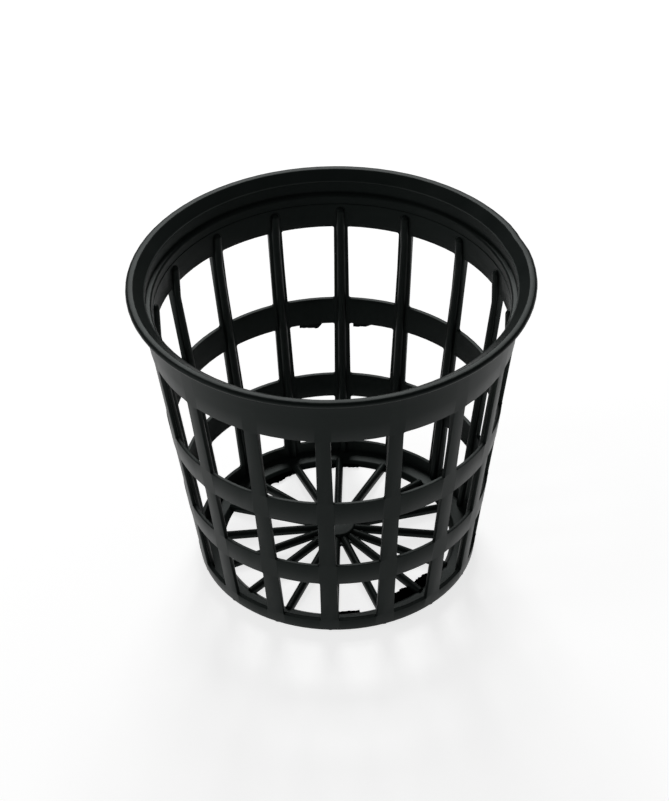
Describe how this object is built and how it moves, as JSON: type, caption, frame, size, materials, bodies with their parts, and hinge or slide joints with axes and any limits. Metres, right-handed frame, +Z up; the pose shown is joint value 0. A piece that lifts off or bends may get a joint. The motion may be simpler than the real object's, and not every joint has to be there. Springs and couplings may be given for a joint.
{
  "type": "hydroponic net pot",
  "caption": "Tapered lattice pot with a rolled lip, stepped collar, inner ribs and a spoked floor, which holds a plant and its pebbles in a hydroponic system.",
  "frame": {"origin": "centre of the underside", "axes": "+Z up along the pot's axis, out of the mouth; a bar of the lattice lies on +Y"},
  "size_m": [0.12, 0.12, 0.1],
  "materials": {
    "pot_plastic": "black moulded polypropylene, satin"
  },
  "bodies": {
    "root": {"net_pot": "pot_plastic"}
  },
  "joints": []
}
